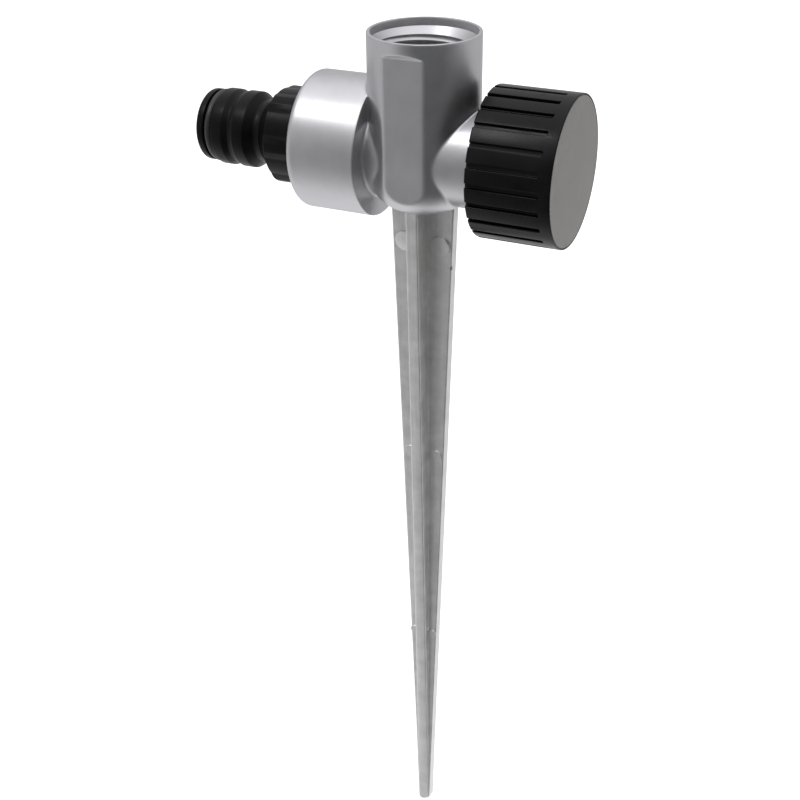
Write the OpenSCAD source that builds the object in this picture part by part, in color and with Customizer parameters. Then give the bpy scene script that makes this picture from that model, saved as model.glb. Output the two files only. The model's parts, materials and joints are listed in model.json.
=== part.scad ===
// Ground spike sprinkler base with a hose inlet, a flow control valve and a threaded outlet.
// Millimetres, +Z up the outlet tube. The origin is on the spike's axis at the ground line,
// which is the underside of the body. +X runs along the water pipe towards the knob.

/* [Outlet tube] */
// Outer diameter of the upright outlet tube
tube_d = 25; // [24.6:0.1:32]
// Height of the tube's rim above the ground line
tube_h = 39.4; // [37:0.1:60]
// Radius that rounds the tube's underside
tube_round = 8; // [2:0.5:12]
// Major diameter of the outlet's female pipe thread
outlet_thread_d = 20.955; // [15.5:0.005:21.2]
// Number of full thread grooves in the outlet
outlet_threads = 5; // [2:1:6]
// Wall of the plain mouth above the thread
mouth_wall = 0.85; // [0.5:0.05:1.5]
// Depth of the plain mouth
mouth_depth = 1.8; // [0.5:0.1:3]
// Diameter of the water passage below the thread
outlet_bore_d = 12.4; // [8:0.1:14]
// Depth of the two wrench flats below the tube's surface
flat_depth = 0.97; // [0.3:0.01:1.4]
// Height of plain tube left between the flats and the rim
flat_below_rim = 2.4; // [1:0.1:8]

/* [Water pipe] */
// Height of the pipe's axis above the ground line
pipe_z = 12.5; // [11:0.1:15]
// Outer diameter of the pipe necks on both sides of the tube
neck_d = 21.8; // [20.5:0.1:25]
// Wall of the valve neck outside its thread
neck_wall = 1.15; // [1:0.05:1.8]
// How far the valve neck stands out from the tube's side
neck_len = 7; // [5.5:0.1:9]
// Diameter of the passage between the inlet socket and the seat
passage_d = 15; // [8:0.1:17]

/* [Inlet boss] */
// Major diameter of the inlet's pipe thread
inlet_thread_d = 26.441; // [24:0.001:32]
// Wall of the inlet boss outside its thread
boss_wall = 2.41; // [1.6:0.01:4]
// Length of the inlet boss
boss_len = 16.85; // [15.5:0.05:24]
// How far the boss reaches into the tube's side
boss_overlap = 2.25; // [0.5:0.05:3]
// Chamfer of the boss's outer edge
boss_edge = 0.9; // [0.2:0.1:2]
// Number of full threads on the hose nipple
inlet_threads = 5; // [3:1:5]

/* [Hose nipple] */
// Length of the nipple outside the boss
nipple_len = 27.5; // [26:0.1:40]
// Diameter of the two guide collars
collar_d = 17.6; // [16.8:0.1:19]
// Diameter of the end lip
lip_d = 16.6; // [15.5:0.1:16.8]
// Width of the end lip
lip_w = 1.9; // [1.2:0.1:3]
// Diameter of the waist behind the collars
waist_d = 14.2; // [12.5:0.1:16]
// Section diameter of the sealing ring
nipple_ring_t = 1.8; // [1.4:0.1:2.1]
// Diameter of the water bore
nipple_bore_d = 9.6; // [6:0.1:11.6]
// Hexagon size across its flats
nipple_hex_across = 20.2; // [18:0.1:22.5]
// Length of the hexagon
nipple_hex_len = 8.2; // [6:0.1:9]
// Thickness of the flat gasket at the bottom of the inlet socket
nipple_gasket_t = 1.5; // [1:0.1:2.5]

/* [Valve] */
// Diameter of the hole in the valve seat
seat_d = 9.5; // [7:0.1:10]
// Thickness of the rubber seat washer
seat_washer_t = 2.2; // [1.5:0.1:2.7]
// How far the valve plug opens
plug_travel = 3.75; // [2:0.05:4.5]
// Hexagon size of the plug's guide across its flats
plug_hex_across = 12; // [10.8:0.1:13]
// Length of the plug's hexagon guide
plug_hex_len = 13.2; // [11:0.1:15]
// Diameter of the spindle
spindle_d = 8; // [6.6:0.1:9.6]
// Section diameter of the spindle's two sealing rings
spindle_ring_t = 1.13; // [1:0.01:1.4]
// Size of the spindle's square drive across its flats
drive_across = 6.2; // [5.4:0.1:6.5]
// Thickness of the bonnet's head
bonnet_head_t = 4; // [3.2:0.1:5]
// Thickness of the bonnet's flat gasket
bonnet_gasket_t = 1; // [0.6:0.1:1.6]

/* [Knob] */
// Outer diameter of the knob
knob_d = 33.34; // [30:0.1:40]
// Gap between the tube's side and the knob's near edge
knob_gap = 3.46; // [2.5:0.1:5]
// Length of the knob
knob_len = 18.9; // [18:0.1:24]
// Number of grip ribs around the knob
knob_ribs = 24; // [12:1:36]
// Width of the groove between two ribs
rib_groove_w = 1.2; // [0.6:0.1:1.8]
// Depth of the groove between two ribs
rib_groove_depth = 0.9; // [0.4:0.1:1.2]
// Width of the smooth band beside the knob's end face
knob_band_w = 2.55; // [1.5:0.05:4]
// Thickness of the knob's skirt below the grooves
knob_wall = 1.7; // [1.2:0.1:2.2]
// Width of the rim around the grey cover disc
disc_rim = 0.37; // [0.3:0.01:2]
// Thickness of the grey cover disc
disc_t = 1; // [0.6:0.1:1.4]
// Diameter of the knob screw's thread
knob_screw_d = 3.9; // [3:0.1:4]

/* [Ground spike] */
// Length of the spike below the ground line
spike_len = 185.55; // [120:1:260]
// Width of the cross section at the top
spike_top_w = 15.5; // [12:0.1:20]
// Width of the cross section at the tip
spike_tip_w = 3.1; // [3:0.1:6]
// Thickness of the four ribs
spike_rib_t = 2.9; // [2:0.1:4]

/* [Fits] */
// Gap between a male and a female thread, and around a fixed piece in its hole
fixed_gap = 0.05; // [0.02:0.01:0.1]
// Radial gap of the spindle in its bearings
running_gap = 0.05; // [0.02:0.01:0.1]
// Gap on each side of the plug's sliding hexagon
sliding_gap = 0.15; // [0.05:0.01:0.3]
// Gap between faces that turn or close against each other
face_gap = 0.05; // [0.02:0.01:0.1]

/* [Hidden] */

$fn = 96;
hex_sides = 6;
cut = 1; // how far a cutter runs past the face it opens
ring_side_gap = 0.5; // free width beside a sealing ring in its groove
pipe_pitch = 1.814; // both pipe threads have 14 turns to the inch
pipe_thread_h = 1.162; // radial depth of a pipe thread
fine_pitch = 1.5;
fine_thread_h = 0.65;
fine_threads = 6;
thread_lead = 1; // plain length between a thread and the face or floor beside it
thread_chamfer = 0.5; // plain length at a thread's entry
thread_cone = 0.2; // where that plain length drops to the thread's inner radius

// Outlet, measured up from the ground line
tube_r = tube_d / 2;
mouth_r = tube_r - mouth_wall;
outlet_major_r = outlet_thread_d / 2;
outlet_minor_r = outlet_major_r - pipe_thread_h;
lead_in = mouth_r - outlet_minor_r; // 45 degree cone between the mouth and the thread
thread_top = tube_h - mouth_depth - lead_in;
thread_start = thread_top - outlet_threads * pipe_pitch;
flat_y = tube_r - flat_depth;
flat_top = tube_h - flat_below_rim;

// Pipe and inlet socket, measured along the pipe's axis from the tube's axis
neck_r = neck_d / 2;
neck_end = tube_r + neck_len;
boss_in = -tube_r + boss_overlap;
boss_out = boss_in - boss_len;
inlet_major_r = inlet_thread_d / 2;
inlet_minor_r = inlet_major_r - pipe_thread_h;
boss_r = inlet_major_r + boss_wall;
nipple_nose = 1.4; // plain length behind the nipple's last thread
inlet_thread_start = boss_out + thread_lead;
nipple_inner_end = inlet_thread_start + inlet_threads * pipe_pitch + nipple_nose;
socket_floor = nipple_inner_end + nipple_gasket_t;

// Hose nipple
nipple_end = boss_out - nipple_len;
hex_start = boss_out - nipple_hex_len;
hex_corner_r = nipple_hex_across * 0.55; // the corners are turned down to this radius
flare_step = 0.7; // how far the flare stays inside the hexagon's corners
flare_r = hex_corner_r - flare_step;
flare_len = 3;
lip_r = lip_d / 2;
lip_chamfer = 0.8;
lip_back = nipple_end + lip_w;
ring_groove_w = nipple_ring_t + ring_side_gap;
ring_proud = 0.1; // how far the sealing ring stands out past the lip
ring_floor_r = lip_r + ring_proud - nipple_ring_t;
collar_r = collar_d / 2;
collar_edge = 0.3;
collar_w = 2.8;
dip_w = 1.5; // half width of the shallow groove between the collars
dip_depth = 0.7;
collar_one = lip_back + ring_groove_w;
collar_two = collar_one + collar_w + 2 * dip_w;
collar_taper = 1.8;
bore_flare = 3; // length of the cone where the water bore widens

// Valve, measured along the pipe's axis
spindle_r = spindle_d / 2;
bonnet_thread_r = neck_r - neck_wall;
bonnet_minor_r = bonnet_thread_r - fine_thread_h;
chamber_step = 0.5; // how far the chamber's wall stands inside the bonnet's thread
chamber_r = bonnet_minor_r - chamber_step;
seat_r = seat_d / 2;
seat_wall_t = 1.8;
seat_lip = 1;
seat_lip_w = 1.2;
seat_clear = 0.3; // gap between the seat's face and the outlet's bore
seat_x = -outlet_bore_d / 2 - seat_clear;
chamber_start = seat_x - seat_lip;
washer_front = seat_x + face_gap;
washer_back = washer_front + seat_washer_t;
washer_overhang = 0.3; // how far the seat washer reaches past the seat's lip
washer_r = seat_r + seat_lip_w + washer_overhang;
plug_flange_t = 2;
plug_rim = 1; // wall of the cup that holds the seat washer
plug_hex_start = washer_back + plug_flange_t;
plug_end = plug_hex_start + plug_hex_len;
plug_floor_t = 2;
plug_web_t = 1; // wall between the plug's two holes
plug_floor = plug_hex_start + plug_floor_t; // bottom of the plug's threaded hole
stop_gap = 0.5; // what stays free at each end of the plug's travel
guide_len = 6; // length of hexagon that is in the bonnet with the valve shut
spindle_tip = plug_floor + plug_travel + stop_gap;
spindle_collar_r = plug_hex_across / 2;
spindle_collar_t = 2;
collar_start = plug_end + plug_travel + stop_gap;
bonnet_shoulder = collar_start + spindle_collar_t + face_gap;
bonnet_face = neck_end + bonnet_gasket_t;
bonnet_out = bonnet_face + bonnet_head_t;
bonnet_flange_t = 1.4;
bonnet_start = plug_end - guide_len;
bonnet_relief = 0.75; // plain length between the bonnet's thread and the neck's end
bonnet_thread_start = neck_end - bonnet_relief - fine_threads * fine_pitch;
spindle_ring_proud = running_gap * 0.6; // the ring stands out past the spindle, short of its bearing
spindle_ring_r = spindle_r + spindle_ring_proud - spindle_ring_t / 2;
spindle_groove_w = spindle_ring_t + ring_side_gap;
ring_land = (bonnet_out - bonnet_shoulder - 2 * spindle_groove_w) / 3;
ring_inner_x = bonnet_shoulder + ring_land + spindle_groove_w / 2;
ring_outer_x = ring_inner_x + spindle_groove_w + ring_land;
thrust_washer_x = bonnet_out + face_gap;
thrust_washer_t = 0.5;
thrust_washer_w = 2.4;
clip_x = thrust_washer_x + thrust_washer_t + face_gap;
clip_t = 0.8;
clip_groove_depth = 0.8;
clip_r = spindle_r - clip_groove_depth;
clip_outer_r = spindle_r + 2;

// Seat washer screw
seat_screw_r = 1.45;
seat_screw_head_r = 2.7;
seat_screw_head_t = 1.6;
seat_screw_slot = 0.6;
seat_screw_slot_depth = 0.7;
screw_end_gap = 0.2; // what a screw's end leaves free in its hole

// Knob, measured along the pipe's axis
knob_r = knob_d / 2;
knob_near = tube_r + knob_gap;
knob_far = knob_near + knob_len;
knob_edge = 0.35;
knob_core_r = knob_r - rib_groove_depth;
cavity_r = knob_core_r - knob_wall;
disc_r = knob_r - disc_rim;
disc_seat = knob_far - disc_t;
disc_skirt_r = 11;
disc_skirt_w = 1.2;
disc_skirt_len = 1.3;
disc_skirt_gap = 0.1; // free depth under the skirt
knob_end_wall = 4.3;
cavity_end = disc_seat - knob_end_wall;
hub_r = 7;
screw_recess_r = 4.6;
screw_recess_depth = 2.3;
screw_seat = disc_seat - screw_recess_depth;
screw_washer_t = 0.6;
screw_head_r = 3.8;
screw_head_t = 1.6;
screw_slot = 0.8;
screw_slot_depth = 0.8;
screw_washer_w = 0.4; // how far the washer reaches past the screw's head
screw_reach = 6; // length of screw inside the spindle
screw_hole_r = knob_screw_d / 2 + fixed_gap;
screw_hole_gap = 0.2; // radial gap of the screw in the knob's end wall
screw_web_t = 1.3; // wall between the screw's seat and the square socket
socket_end = screw_seat - screw_web_t;
spindle_end = socket_end - 0.2;
drive_start = clip_x + clip_t + 0.4;
hub_start = drive_start + 0.2;
drive_half = drive_across / 2;

// Turns a piece's own +Z to the pipe's +X and moves it to its place along the pipe.
module along_pipe(x = 0) translate([x, 0, pipe_z]) rotate([0, 90, 0]) children();

// Solid of revolution about the pipe's axis. Each point is [radius, x].
module turned(points) along_pipe() rotate_extrude() polygon(points);

// Plain cylinder on the pipe's axis between two places.
module rod(radius, from, to) along_pipe(from) cylinder(r = radius, h = to - from);

// Flat ring on the pipe's axis.
module ring(inner_r, outer_r, from, to) difference() {
    rod(outer_r, from, to);
    rod(inner_r, from - cut, to + cut);
}

// Round sealing ring on the pipe's axis.
module o_ring(centre_r, section_d, x)
    along_pipe(x) rotate_extrude() translate([centre_r, 0]) circle(d = section_d, $fn = 32);

// Hexagonal bar on the pipe's axis.
module hex_bar(across, from, to)
    along_pipe(from) cylinder(r = across / 2 / cos(180 / hex_sides), h = to - from, $fn = hex_sides);

// Square bar on the pipe's axis.
module square_bar(half, from, to)
    along_pipe(from) translate([-half, -half, 0]) cube([2 * half, 2 * half, to - from]);

// Slot across a screw's head, cut from its top or bottom.
module driver_slot(width, head_r, from, to)
    along_pipe(from) translate([-head_r - cut, -width / 2, 0])
        cube([2 * (head_r + cut), width, to - from]);

// Profile of a run of thread rings between an inner and an outer radius.
function thread(inner_r, outer_r, start, pitch, count) = [
    for (i = [0 : count - 1])
        each [
            [inner_r, start + i * pitch],
            [outer_r, start + (i + 0.35) * pitch],
            [outer_r, start + (i + 0.5) * pitch],
            [inner_r, start + (i + 0.85) * pitch]
        ]
];

// Outer shape of the outlet tube with its rounded underside.
module tube_outside() rotate_extrude() intersection() {
    square([tube_r, tube_h]);
    union() {
        translate([tube_r - tube_round, tube_round]) circle(r = tube_round);
        translate([0, tube_round]) square([tube_r, tube_h]);
        square([tube_r - tube_round, tube_h]);
    }
}

// Outer shape of the pipe: the necks on both sides of the tube and the inlet boss.
module pipe_outside() {
    rod(neck_r, boss_in - cut, neck_end);
    turned([
        [0, boss_out], [boss_r - boss_edge, boss_out], [boss_r, boss_out + boss_edge],
        [boss_r, boss_in], [0, boss_in]
    ]);
}

// Everything that the front wrench flat removes, with a sloping ledge at its top.
module wrench_flat() {
    deep = flat_depth + cut;
    translate([-tube_r, 0, 0]) rotate([90, 0, 90]) linear_extrude(tube_d) polygon([
        [-flat_y - deep, -cut], [-flat_y, -cut], [-flat_y, flat_top - flat_depth],
        [-flat_y - deep, flat_top + cut]
    ]);
}

// Mouth, thread and water passage of the outlet.
module outlet_cutter() {
    bore_r = outlet_bore_d / 2;
    thread_floor = thread_start - thread_lead;
    rotate_extrude() polygon(concat(
        [[0, pipe_z], [bore_r, pipe_z], [bore_r, thread_floor], [outlet_minor_r, thread_floor]],
        thread(outlet_minor_r, outlet_major_r, thread_start, pipe_pitch, outlet_threads),
        [
            [outlet_minor_r, thread_top], [mouth_r, tube_h - mouth_depth],
            [mouth_r, tube_h + cut], [0, tube_h + cut]
        ]
    ));
}

// Threaded socket for the nipple, the passage behind it and the hole through the seat.
module inlet_cutter() {
    turned(concat(
        [
            [0, boss_out - cut], [inlet_major_r, boss_out - cut],
            [inlet_major_r, inlet_thread_start - thread_chamfer],
            [inlet_minor_r, inlet_thread_start - thread_cone]
        ],
        thread(inlet_minor_r, inlet_major_r, inlet_thread_start, pipe_pitch, inlet_threads),
        [[inlet_minor_r, socket_floor], [0, socket_floor]]
    ));
    rod(passage_d / 2, socket_floor - cut, chamber_start - seat_wall_t);
    rod(seat_r, socket_floor, seat_x + cut);
}

// Valve chamber around the raised seat, and the thread for the bonnet.
module chamber_cutter() {
    difference() {
        rod(chamber_r, chamber_start, neck_end + cut);
        ring(seat_r - cut, seat_r + seat_lip_w, chamber_start - cut, seat_x);
    }
    turned(concat(
        [[0, bonnet_thread_start - thread_lead], [bonnet_minor_r, bonnet_thread_start - thread_lead]],
        thread(bonnet_minor_r, bonnet_thread_r, bonnet_thread_start, fine_pitch, fine_threads),
        [
            [bonnet_minor_r, bonnet_thread_start + fine_threads * fine_pitch],
            [bonnet_thread_r, neck_end - thread_cone], [bonnet_thread_r, neck_end + cut],
            [0, neck_end + cut]
        ]
    ));
}

module body_casting() color("silver") difference() {
    union() {
        difference() {
            tube_outside();
            wrench_flat();
            mirror([0, 1, 0]) wrench_flat();
        }
        pipe_outside();
    }
    outlet_cutter();
    inlet_cutter();
    chamber_cutter();
}

// One tapering blade of the spike, running right through its axis.
module spike_blade() {
    slope = (spike_top_w - spike_tip_w) / 2 / spike_len;
    top_half = spike_top_w / 2 + slope * tube_round;
    rotate([90, 0, 0]) translate([0, 0, -spike_rib_t / 2]) linear_extrude(spike_rib_t) polygon([
        [-spike_tip_w / 2, -spike_len], [spike_tip_w / 2, -spike_len],
        [top_half, tube_round], [-top_half, tube_round]
    ]);
}

// The two blades cross, and their tops follow the body's underside.
module ground_spike() color("darkgray") difference() {
    union() {
        spike_blade();
        rotate([0, 0, 90]) spike_blade();
    }
    tube_outside();
    pipe_outside();
}

// The part of the nipple that stands out of the boss.
module nipple_outside() {
    collar_one_end = collar_one + collar_w;
    turned([
        [0, nipple_end], [lip_r - lip_chamfer, nipple_end], [lip_r, nipple_end + lip_chamfer],
        [lip_r, lip_back], [ring_floor_r, lip_back], [ring_floor_r, collar_one],
        [collar_r - collar_edge, collar_one], [collar_r, collar_one + collar_edge],
        [collar_r, collar_one_end], [collar_r - dip_depth, collar_one_end + dip_w],
        [collar_r, collar_two], [collar_r, collar_two + collar_w],
        [waist_d / 2, collar_two + collar_w + collar_taper], [waist_d / 2, hex_start - flare_len],
        [flare_r, hex_start], [flare_r, hex_start + cut], [0, hex_start + cut]
    ]);
    intersection() {
        hex_bar(nipple_hex_across, hex_start, boss_out + cut);
        rod(hex_corner_r, hex_start, boss_out + cut);
    }
}

module inlet_nipple() color("dimgray") difference() {
    inner_r = inlet_minor_r - fixed_gap;
    outer_r = inlet_major_r - fixed_gap;
    union() {
        nipple_outside();
        turned(concat(
            [
                [0, boss_out], [outer_r, boss_out], [outer_r, inlet_thread_start - thread_chamfer],
                [inner_r, inlet_thread_start - thread_cone]
            ],
            thread(inner_r, outer_r, inlet_thread_start, pipe_pitch, inlet_threads),
            [[inner_r, nipple_inner_end], [0, nipple_inner_end]]
        ));
    }
    turned([
        [0, nipple_end - cut], [nipple_bore_d / 2, nipple_end - cut],
        [nipple_bore_d / 2, boss_out - bore_flare], [passage_d / 2, boss_out],
        [passage_d / 2, nipple_inner_end + cut], [0, nipple_inner_end + cut]
    ]);
}

module nipple_o_ring() color("black")
    o_ring(ring_floor_r + nipple_ring_t / 2, nipple_ring_t, lip_back + ring_groove_w / 2);

module nipple_gasket() color("black")
    ring(passage_d / 2, inlet_minor_r - fixed_gap, nipple_inner_end, socket_floor);

module valve_bonnet() color("goldenrod") difference() {
    inner_r = bonnet_minor_r - fixed_gap;
    outer_r = bonnet_thread_r - fixed_gap;
    union() {
        rod(chamber_r - 2 * sliding_gap, bonnet_start, bonnet_thread_start);
        turned(concat(
            [[0, bonnet_thread_start - thread_chamfer], [inner_r, bonnet_thread_start - thread_chamfer]],
            thread(inner_r, outer_r, bonnet_thread_start, fine_pitch, fine_threads),
            [
                [inner_r, bonnet_face], [neck_r, bonnet_face],
                [neck_r, bonnet_face + bonnet_flange_t], [0, bonnet_face + bonnet_flange_t]
            ]
        ));
        hex_bar(2 * inner_r, bonnet_face, bonnet_out);
    }
    hex_bar(plug_hex_across + 2 * sliding_gap, bonnet_start - cut, bonnet_shoulder);
    rod(spindle_r + running_gap, bonnet_start, bonnet_out + cut);
}

module bonnet_gasket() color("firebrick")
    ring(bonnet_thread_r - fixed_gap, neck_r, neck_end, bonnet_face);

module spindle() color("gold") difference() {
    root_r = spindle_r - fine_thread_h;
    union() {
        turned(concat(
            [[0, spindle_tip], [root_r, spindle_tip]],
            thread(root_r, spindle_r, spindle_tip, fine_pitch, fine_threads),
            [
                [root_r, collar_start], [spindle_collar_r, collar_start],
                [spindle_collar_r, collar_start + spindle_collar_t],
                [spindle_r, collar_start + spindle_collar_t], [spindle_r, drive_start], [0, drive_start]
            ]
        ));
        intersection() {
            rod(spindle_r, drive_start - cut, spindle_end);
            square_bar(drive_half, drive_start - cut, spindle_end);
        }
    }
    for (x = [ring_inner_x, ring_outer_x])
        ring(spindle_ring_r - spindle_ring_t / 2, spindle_r + cut, x - spindle_groove_w / 2,
            x + spindle_groove_w / 2);
    ring(clip_r, spindle_r + cut, clip_x, clip_x + clip_t);
    rod(screw_hole_r, spindle_end - screw_reach - screw_end_gap, spindle_end + cut);
}

module spindle_o_ring_inner() color("black") o_ring(spindle_ring_r, spindle_ring_t, ring_inner_x);

module spindle_o_ring_outer() color("black") o_ring(spindle_ring_r, spindle_ring_t, ring_outer_x);

module thrust_washer() color("ivory")
    ring(spindle_r + fixed_gap, spindle_r + thrust_washer_w, thrust_washer_x,
        thrust_washer_x + thrust_washer_t);

// Open ring that snaps into the spindle's groove from the side.
module retaining_clip() color("lightsteelblue") difference() {
    ring(clip_r + fixed_gap, clip_outer_r, clip_x, clip_x + clip_t);
    along_pipe(clip_x - cut) translate([-clip_r, 0, 0])
        cube([2 * clip_r, clip_outer_r + cut, clip_t + 2 * cut]);
}

module valve_plug() color("ivory") difference() {
    cup_r = washer_r + fixed_gap;
    union() {
        rod(cup_r + plug_rim, washer_back - seat_washer_t / 2, plug_hex_start);
        hex_bar(plug_hex_across, plug_hex_start - cut, plug_end);
    }
    rod(cup_r, washer_back - seat_washer_t, washer_back);
    rod(spindle_r + running_gap, plug_floor, plug_end + cut);
    rod(seat_screw_r + fixed_gap, washer_back - cut, plug_floor - plug_web_t);
}

module seat_washer() color("black")
    ring(seat_screw_r + fixed_gap, washer_r, washer_front, washer_back);

module seat_washer_screw() color("lightsteelblue") difference() {
    head = washer_front - seat_screw_head_t;
    union() {
        rod(seat_screw_head_r, head, washer_front);
        rod(seat_screw_r, washer_front - cut / 2, plug_floor - plug_web_t - screw_end_gap);
    }
    driver_slot(seat_screw_slot, seat_screw_head_r, head - cut, head + seat_screw_slot_depth);
}

// Skirt, end wall, grip grooves and the hub that fits the spindle.
module knob() color("black") difference() {
    union() {
        difference() {
            turned([
                [0, knob_near], [knob_r - knob_edge, knob_near], [knob_r, knob_near + knob_edge],
                [knob_r, knob_far - 2 * knob_edge], [knob_r - knob_edge / 2, knob_far], [0, knob_far]
            ]);
            rod(cavity_r, knob_near - cut, cavity_end);
            for (i = [0 : knob_ribs - 1])
                along_pipe(knob_near - cut) rotate([0, 0, i * 360 / knob_ribs])
                    translate([knob_core_r, -rib_groove_w / 2, 0])
                        cube([rib_groove_depth + cut, rib_groove_w, knob_len - knob_band_w + cut]);
        }
        rod(hub_r, hub_start, cavity_end + cut);
    }
    rod(disc_r + fixed_gap, disc_seat, knob_far + cut);
    ring(disc_skirt_r - disc_skirt_w - fixed_gap, disc_skirt_r + fixed_gap,
        disc_seat - disc_skirt_len - disc_skirt_gap, disc_seat + cut);
    rod(screw_recess_r, screw_seat, disc_seat + cut);
    rod(knob_screw_d / 2 + screw_hole_gap, socket_end - cut, screw_seat + cut);
    square_bar(drive_half + fixed_gap, hub_start - cut, socket_end);
}

module knob_screw() color("lightsteelblue") difference() {
    head = screw_seat + screw_washer_t;
    head_end = head + screw_head_t;
    union() {
        rod(screw_head_r, head, head_end);
        rod(knob_screw_d / 2, spindle_end - screw_reach, head + cut / 2);
    }
    driver_slot(screw_slot, screw_head_r, head_end - screw_slot_depth, head_end + cut);
}

module knob_screw_washer() color("lightsteelblue")
    ring(knob_screw_d / 2 + fixed_gap, screw_head_r + screw_washer_w, screw_seat,
        screw_seat + screw_washer_t);

// Flat disc that closes the knob's end and hides its screw, held by a ring that snaps into a groove.
module knob_cover_disc() color("gray") {
    rod(disc_r, disc_seat, knob_far);
    ring(disc_skirt_r - disc_skirt_w, disc_skirt_r, disc_seat - disc_skirt_len, disc_seat + disc_t / 2);
}

body_casting();
ground_spike();
inlet_nipple();
nipple_o_ring();
nipple_gasket();
valve_bonnet();
bonnet_gasket();
spindle();
spindle_o_ring_inner();
spindle_o_ring_outer();
thrust_washer();
retaining_clip();
valve_plug();
seat_washer();
seat_washer_screw();
knob();
knob_screw();
knob_screw_washer();
knob_cover_disc();
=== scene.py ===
"""Sprinkler base on a ground spike: the looks of its casting, nipple, knob and valve parts.

Shapes are worked in millimetres in the part's own frame and scaled to metres at the end.
"""
import json
from math import cos, pi, radians, sin, sqrt, tan, tau

import bmesh
import bpy
import numpy as np
from mathutils import Matrix, Vector


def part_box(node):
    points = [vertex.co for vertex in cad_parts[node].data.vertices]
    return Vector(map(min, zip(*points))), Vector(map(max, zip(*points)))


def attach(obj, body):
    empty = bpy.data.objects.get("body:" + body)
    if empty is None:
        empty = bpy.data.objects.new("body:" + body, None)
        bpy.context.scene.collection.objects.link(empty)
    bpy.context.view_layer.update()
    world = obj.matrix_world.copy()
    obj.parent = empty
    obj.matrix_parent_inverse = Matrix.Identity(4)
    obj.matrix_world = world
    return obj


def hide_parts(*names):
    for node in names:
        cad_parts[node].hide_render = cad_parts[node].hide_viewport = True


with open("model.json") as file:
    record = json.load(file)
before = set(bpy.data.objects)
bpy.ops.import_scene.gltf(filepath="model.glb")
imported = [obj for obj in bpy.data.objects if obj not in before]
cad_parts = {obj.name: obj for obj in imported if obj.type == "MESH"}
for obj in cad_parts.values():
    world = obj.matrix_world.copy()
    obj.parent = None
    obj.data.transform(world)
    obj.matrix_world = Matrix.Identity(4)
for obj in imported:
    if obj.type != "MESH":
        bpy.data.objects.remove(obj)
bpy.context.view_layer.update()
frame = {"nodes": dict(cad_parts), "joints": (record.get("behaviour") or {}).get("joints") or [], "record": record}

MM = 0.001
WELD = 0.0005  # corners closer than this, in millimetres, are one corner
SLIVER = 0.001  # faces thinner than this are dropped
SHARP_ANGLE = radians(30)  # edges that turn by more than this are shaded as corners


def corners(node):
    """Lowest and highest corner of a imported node, in millimetres."""
    return [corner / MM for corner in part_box(node)]


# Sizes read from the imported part, in millimetres
CAST_LOW, CAST_HIGH = corners("body_casting")
SPIKE_LOW = corners("ground_spike")[0]
NIPPLE_LOW, NIPPLE_HIGH = corners("inlet_nipple")
KNOB_LOW, KNOB_HIGH = corners("knob")
DISC_LOW, DISC_HIGH = corners("knob_cover_disc")
PIPE_Z = frame["joints"][0]["pos_m"][2] / MM
RIM_Z = CAST_HIGH.z
BOSS_OUT = CAST_LOW.x
BOSS_R = CAST_HIGH.y

# Casting: sizes first, then how far each corner is rounded
TUBE_R = 12.5
TUBE_ROUND = 8
MOUTH_R = 11.65
MOUTH_DEPTH = 1.8
FLAT_Y = 11.53
LEDGE_Z = RIM_Z - 3.37
NECK_R = 10.9
BOSS_IN = -10.25
BOSS_CHAMFER = 0.9
RIM_EDGE = 0.25
MOUTH_EDGE = 0.2
FLAT_EDGE = 0.2
LEDGE_FILLET = 0.12
BOSS_EDGE = 0.22
BOSS_ROUND = 1.5
NECK_FILLET = 0.3
BOSS_FILLET = 0.6
ON_SKIN = 0.05  # corners this near to the outside belong to it
SOFT_MESH = 0.36  # longest edge left beside a rounded corner
SPLIT_PASSES = 10
EDGE_SAMPLES = 5  # places looked at along each edge
MOVE_PASSES = 6
SLOPE_STEP = 0.002

# Outlet thread
THREAD_MINOR_R = 9.3155
THREAD_MAJOR_R = 10.4775
THREAD_PITCH = 1.814
THREAD_FLOOR = 25.2
THREAD_TOP = 35.2
GROOVE_TURNS = 5.875
GROOVE_STEPS = 72  # in one turn
GROOVE_LAST_TURN = 5.25  # after this many turns the groove is its run-out above the thread
GROOVE_RUN_OUT = 0.46
GROOVE_OVERCUT = 0.3
GROOVE_FLOOR = 0.07  # half widths as shares of the pitch
GROOVE_MOUTH = 0.5
SLEEVE_INSET = 0.02
SLEEVE_WALL = 0.5
SLEEVE_LIFT = 0.4

# Spike
SPIKE_TOP_W = 15.5
SPIKE_TIP_W = 3.1
RIB_T = 2.9
RIB_EDGE = 0.3
RIB_FILLET = 0.35
SPIKE_SINK = 0.05
SPIKE_STATIONS = (-160, -100)  # heights between the tip and the casting where it is drawn again
# Ejector pads: height, radius, rise and tilt in degrees
PIN_MARKS = ((-8.8, 2.4, 0.35, 7), (-65.5, 1.6, 0.35, 0), (-122.5, 1.15, 0.35, 0))
PAD_EDGE = 0.1
NICK_Z = -13.8
NICK_DEPTH = 0.45
NICK_BELOW = 0.5
NICK_ABOVE = 0.4
NICK_BACK = -0.8
# Cuts that slant the tip: a place measured from the axis and the lowest point, and a direction
TIP_CUTS = (((0.4, -0.4, 0.02), (0.62, -0.2, -0.75)), ((-1.2, 0.4, 0.6), (-0.85, 0.1, -0.5)))

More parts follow.
